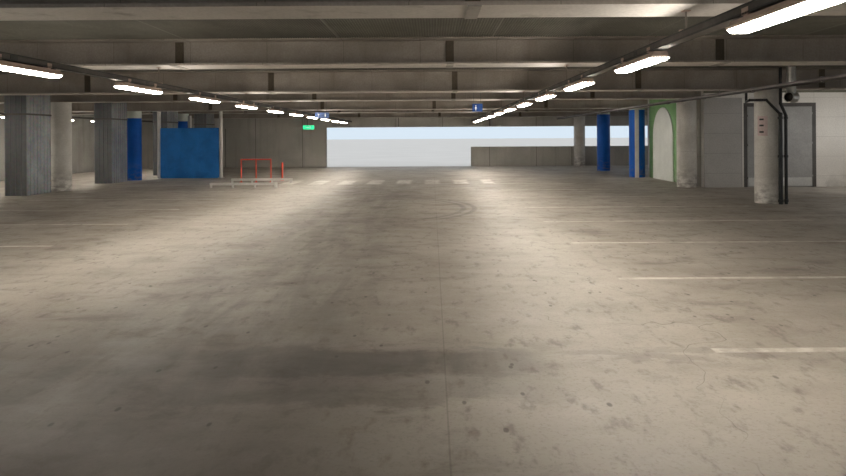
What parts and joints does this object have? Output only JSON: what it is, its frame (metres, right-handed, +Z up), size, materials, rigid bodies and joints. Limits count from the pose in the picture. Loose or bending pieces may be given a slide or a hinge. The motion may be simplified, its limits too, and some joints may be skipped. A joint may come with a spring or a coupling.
{
  "type": "multi storey car park",
  "caption": "Open-sided car park with a central aisle, round columns, steel beams, decks, parapets, a stair and lift core with a double door, lamps and signs.",
  "frame": {"origin": "centre of the footprint, at ground level", "axes": "+Z up, +Y along the parking aisle from the near end to the far end, +X to the side with the stair and lift core"},
  "size_m": [30, 36.45, 9.75],
  "materials": {
    "floor_concrete": "worn power-floated concrete",
    "deck_concrete": "cast concrete",
    "painted_columns": "white painted concrete",
    "blue_columns": "blue painted concrete",
    "painted_steel": "matt paint",
    "dark_steel": "matt paint",
    "wall_concrete": "cast concrete",
    "precast_concrete": "precast concrete",
    "white_wall": "white painted blocks",
    "green_wall": "green painted blocks",
    "grey_cladding": "painted sheet",
    "pale_panel": "painted sheet",
    "door_frame_paint": "dark paint",
    "door_paint": "grey paint",
    "lamp_diffuser": "translucent",
    "lamp_body": "moulded plastic",
    "rail_paint": "dark paint",
    "pipe_paint": "grey paint",
    "black_pipe": "satin",
    "duct_metal": "brushed",
    "sheet_casing": "galvanised sheet",
    "blue_screen": "blue paint",
    "white_post": "white paint",
    "kerb_concrete": "precast concrete",
    "red_tube": "gloss paint",
    "sign_blue": "gloss",
    "sign_blue_white": "gloss",
    "sign_green": "lit"
  },
  "bodies": {
    "building": {"ground_slab": "floor_concrete", "deck_1": "deck_concrete", "roof_deck": "deck_concrete", "columns_pale": "painted_columns", "columns_blue": "blue_columns", "beams": "painted_steel", "web_plates": "dark_steel", "flange_plates": "painted_steel", "left_wall_ground": "wall_concrete", "left_wall_upper": "wall_concrete", "left_parapet_roof": "wall_concrete", "right_parapets": "precast_concrete", "near_parapets": "precast_concrete", "far_parapets": "precast_concrete", "far_wall_ground": "precast_concrete", "core_front_left": "white_wall", "core_front_right": "white_wall", "core_front_heads": "white_wall", "core_back_wall": "white_wall", "core_aisle_wall": "green_wall", "core_outer_wall": "precast_concrete", "core_roof": "deck_concrete", "core_cladding": "grey_cladding", "core_head_beam": "painted_steel", "arch_panel": "pale_panel", "door_jambs": "door_frame_paint", "door_head": "door_frame_paint", "upper_doors": "door_paint", "lamps": "lamp_diffuser", "lamp_bodies": "lamp_body", "lamp_rails": "rail_paint", "rail_hangers": "rail_paint", "sprinkler_pipe": "pipe_paint", "drain_pipes": "black_pipe", "vent_mouth": "duct_metal", "duct_casings": "sheet_casing", "screen_wall": "blue_screen", "screen_posts": "white_post", "kerb_rails": "kerb_concrete", "trolley_rail": "red_tube", "hanging_sign": "sign_blue", "left_sign": "sign_blue_white", "exit_sign": "sign_green"},
    "left_leaf": {"door_leaf_left": "door_paint"},
    "right_leaf": {"door_leaf_right": "door_paint"}
  },
  "joints": [
    {"name": "left_leaf_hinge", "type": "hinge", "parent": "building", "child": "left_leaf", "pos_m": [11.434, 2.236, 1.4], "axis": [0, 0, -1], "range_deg": [0, 90]},
    {"name": "right_leaf_hinge", "type": "hinge", "parent": "building", "child": "right_leaf", "pos_m": [13.416, 2.236, 1.4], "axis": [0, 0, 1], "range_deg": [0, 90]}
  ]
}
